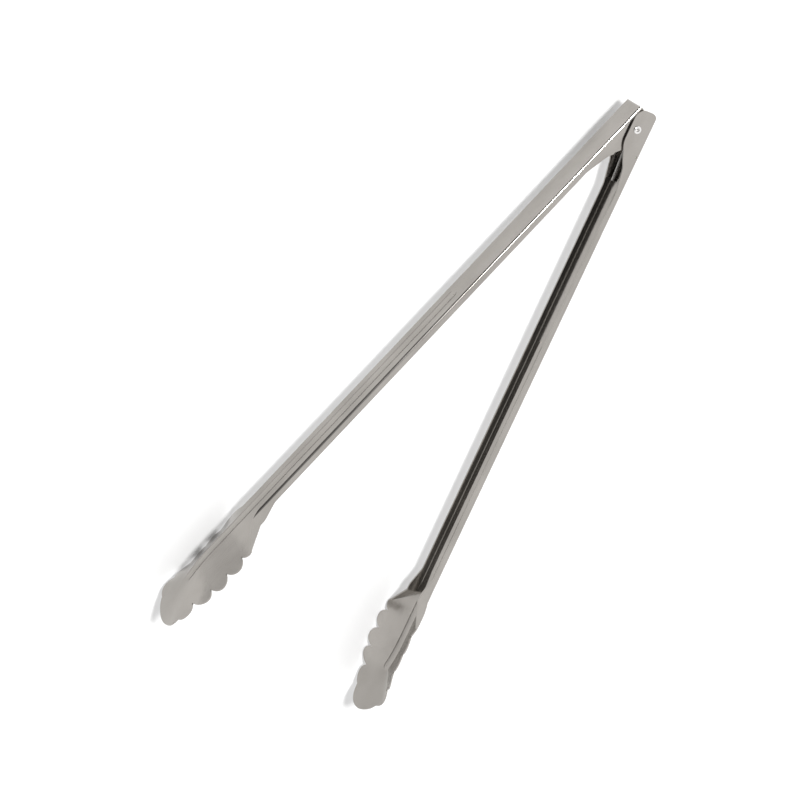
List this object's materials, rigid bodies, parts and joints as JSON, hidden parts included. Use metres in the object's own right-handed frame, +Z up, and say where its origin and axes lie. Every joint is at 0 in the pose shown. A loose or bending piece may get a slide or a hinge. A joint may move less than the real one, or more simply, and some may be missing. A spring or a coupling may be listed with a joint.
{
  "type": "kitchen tongs",
  "caption": "Long spring loaded kitchen tongs of bent steel sheet, hinged at one end, with scalloped scoop tips.",
  "frame": {"origin": "centre of the footprint of the open tongs lying on their side, at the height of their lowest edge", "axes": "+X from the hinge to the scoops along the centre line, +Y towards the arm with the outer ears, +Z up along the hinge axis"},
  "size_m": [0.4018, 0.1608, 0.0418],
  "materials": {
    "arm_steel": "satin, brushed along the arms",
    "rivet_steel": "bright, turned",
    "spring_wire": "drawn wire, bright"
  },
  "bodies": {
    "outer_body": {"outer_arm": "arm_steel", "pivot_rivet": "rivet_steel", "torsion_spring": "spring_wire"},
    "inner_body": {"inner_arm": "arm_steel"}
  },
  "joints": [
    {"name": "hinge", "type": "hinge", "parent": "outer_body", "child": "inner_body", "pos_m": [-0.18812, 0, 0.02091], "axis": [0, 0, 1], "range_deg": [0, 22.1], "stiffness_Nm_per_rad": 1.8, "springref_deg": -25.78, "deforming": ["torsion_spring"]}
  ]
}
